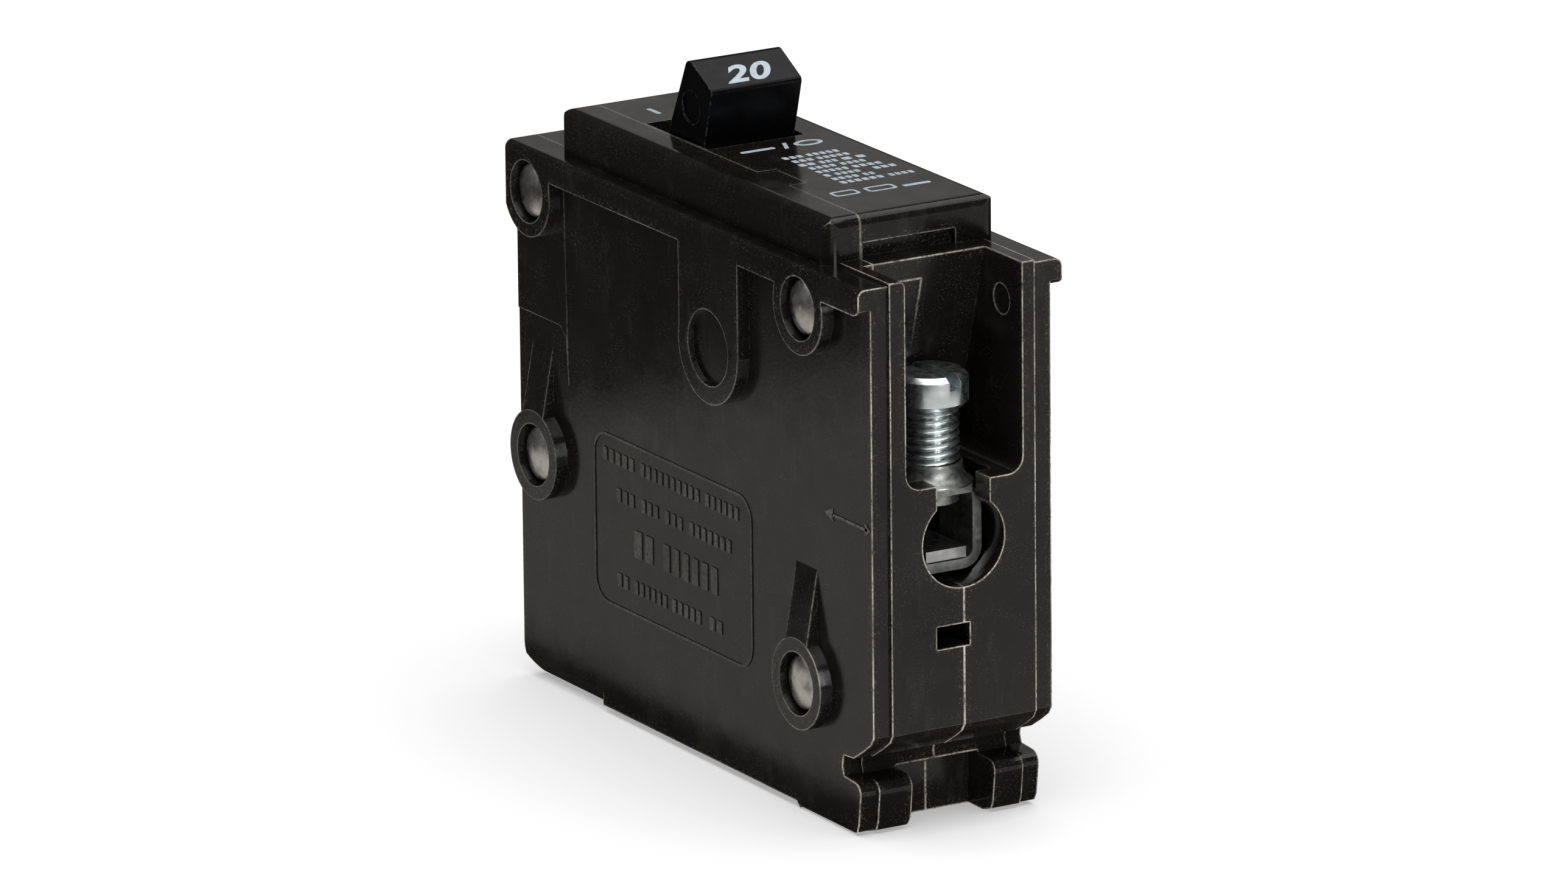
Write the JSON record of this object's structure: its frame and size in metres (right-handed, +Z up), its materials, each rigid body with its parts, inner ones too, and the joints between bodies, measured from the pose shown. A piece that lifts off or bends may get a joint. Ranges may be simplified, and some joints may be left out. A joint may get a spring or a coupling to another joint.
{
  "type": "single-pole circuit breaker",
  "caption": "Plug-on single-pole thermal-magnetic circuit breaker with toggle handle, box lug and rail hook.",
  "frame": {"origin": "under the middle of the case, at the level of the rail foot", "axes": "+X towards the load end with the wire lug, +Y across the width, +Z up through the handle"},
  "size_m": [0.0756, 0.0254, 0.0757],
  "materials": {
    "case": "satin moulded phenolic",
    "handle": "glossy moulded",
    "rivet_steel": "dull",
    "plated_steel": "plated",
    "spring_steel": "drawn wire",
    "magnet_iron": "plain",
    "bimetal": "rolled",
    "copper": "rolled copper",
    "contact_silver": "silver alloy",
    "tinned_strap": "tin plate",
    "dull_zinc": "dull zinc plate",
    "bright_zinc": "bright bluish zinc plate",
    "fibre": "vulcanised fibre sheet"
  },
  "bodies": {
    "case": {"base": "case", "cover": "case", "case_rivets": "rivet_steel", "cradle_pin": "plated_steel", "bimetal": "bimetal", "magnet_yoke": "magnet_iron", "armature_pin": "plated_steel", "armature_spring": "spring_steel", "calibration_screw": "plated_steel", "load_strap": "tinned_strap", "lug_collar": "dull_zinc", "shunt_braid": "copper", "line_strap": "copper", "line_jaw": "copper", "jaw_spring": "spring_steel", "fixed_contact": "contact_silver", "arc_plates": "magnet_iron", "arc_chute_sides": "fibre", "vent_baffle": "fibre"},
    "handle": {"handle": "handle"},
    "contact_arm": {"contact_arm": "copper", "moving_contact": "contact_silver", "operating_spring": "spring_steel"},
    "cradle": {"trip_cradle": "plated_steel"},
    "armature": {"armature": "magnet_iron"},
    "pressure_pad": {"pressure_pad": "dull_zinc"},
    "terminal_screw": {"terminal_screw": "bright_zinc"}
  },
  "joints": [
    {"name": "handle_turn", "type": "hinge", "parent": "case", "child": "handle", "pos_m": [-0.01145, 0, 0.06025], "axis": [0, -1, 0], "range_deg": [0, 33]},
    {"name": "arm_swing", "type": "hinge", "parent": "case", "child": "contact_arm", "pos_m": [-0.01241, 0, 0.0496], "axis": [0, 1, 0], "range_deg": [0, 18.8], "deforming": ["operating_spring", "shunt_braid"]},
    {"name": "cradle_trip", "type": "hinge", "parent": "case", "child": "cradle", "pos_m": [-0.0255, 0, 0.0528], "axis": [0, 1, 0], "range_deg": [0, 12], "deforming": ["operating_spring"]},
    {"name": "armature_pull", "type": "hinge", "parent": "case", "child": "armature", "pos_m": [0.0132, 0, 0.031], "axis": [0, 1, 0], "range_deg": [0, 4.5], "deforming": ["armature_spring"]},
    {"name": "pad_travel", "type": "slide", "parent": "case", "child": "pressure_pad", "axis": [0, 0, 1], "range_m": [-0.00453, 0.00045]},
    {"name": "screw_turn", "type": "hinge", "parent": "pressure_pad", "child": "terminal_screw", "pos_m": [0.0311, 0, 0.04], "axis": [0, 0, 1], "range_deg": [-1800, 180]}
  ],
  "couplings": [
    {"joint": "arm_swing", "follows": "handle_turn", "ratio": 0.5696},
    {"joint": "screw_turn", "follows": "pad_travel", "rad_per_m": 6927.4}
  ]
}
